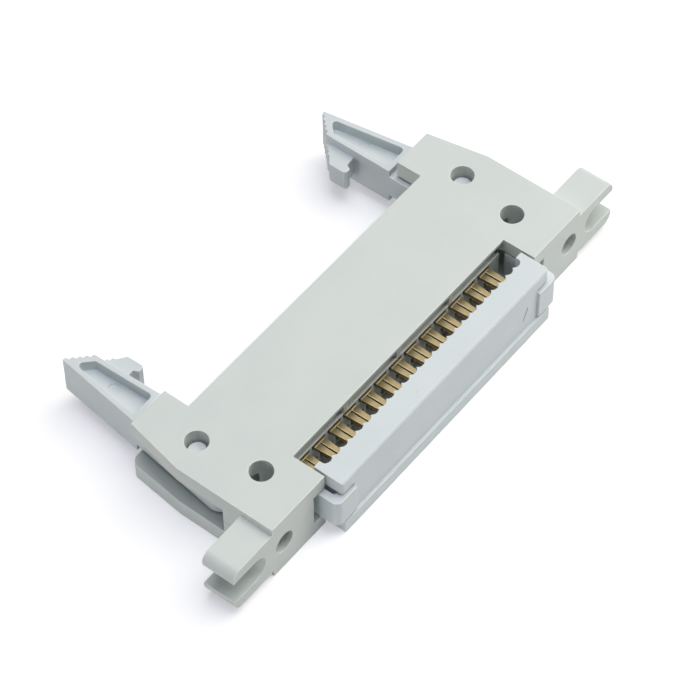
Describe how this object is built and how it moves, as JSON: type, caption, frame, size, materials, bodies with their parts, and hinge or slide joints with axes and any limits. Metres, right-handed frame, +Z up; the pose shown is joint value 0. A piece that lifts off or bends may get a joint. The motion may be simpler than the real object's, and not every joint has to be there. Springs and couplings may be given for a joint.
{
  "type": "idc ribbon cable plug",
  "caption": "Flat ribbon cable plug with two rows of pins, a press-on cable cover, ejector latches and slotted mounting ears.",
  "frame": {"origin": "on the flat bottom face, on the centre line between the latches, under the face of the contact wall that the pins stand out of", "axes": "+X along the rows of pins, +Y the way the plug goes into its mate, +Z up from the bottom face through the thickness"},
  "size_m": [0.0642, 0.0337, 0.0081],
  "materials": {
    "housing": "fine satin grey moulding",
    "cover": "fine satin pale grey moulding",
    "latch": "satin blue-grey moulding",
    "contact": "gold flash over stamped copper alloy"
  },
  "bodies": {
    "housing": {"housing": "housing", "contact_01": "contact", "contact_02": "contact", "contact_03": "contact", "contact_04": "contact", "contact_05": "contact", "contact_06": "contact", "contact_07": "contact", "contact_08": "contact", "contact_09": "contact", "contact_10": "contact", "contact_11": "contact", "contact_12": "contact", "contact_13": "contact", "contact_14": "contact", "contact_15": "contact", "contact_16": "contact", "contact_17": "contact", "contact_18": "contact", "contact_19": "contact", "contact_20": "contact", "contact_21": "contact", "contact_22": "contact", "contact_23": "contact", "contact_24": "contact", "contact_25": "contact", "contact_26": "contact"},
    "cover": {"cover": "cover"},
    "latch_left": {"latch_left": "latch"},
    "latch_right": {"latch_right": "latch"}
  },
  "joints": [
    {"name": "latch_left_hinge", "type": "hinge", "parent": "housing", "child": "latch_left", "pos_m": [-0.0222, 0.0058, 0.00405], "axis": [0, 0, 1], "range_deg": [-2, 30]},
    {"name": "latch_right_hinge", "type": "hinge", "parent": "housing", "child": "latch_right", "pos_m": [0.0222, 0.0058, 0.00405], "axis": [0, 0, -1], "range_deg": [0, 32]},
    {"name": "cover_press", "type": "slide", "parent": "housing", "child": "cover", "axis": [0, 1, 0], "range_m": [0, 0.002]}
  ]
}
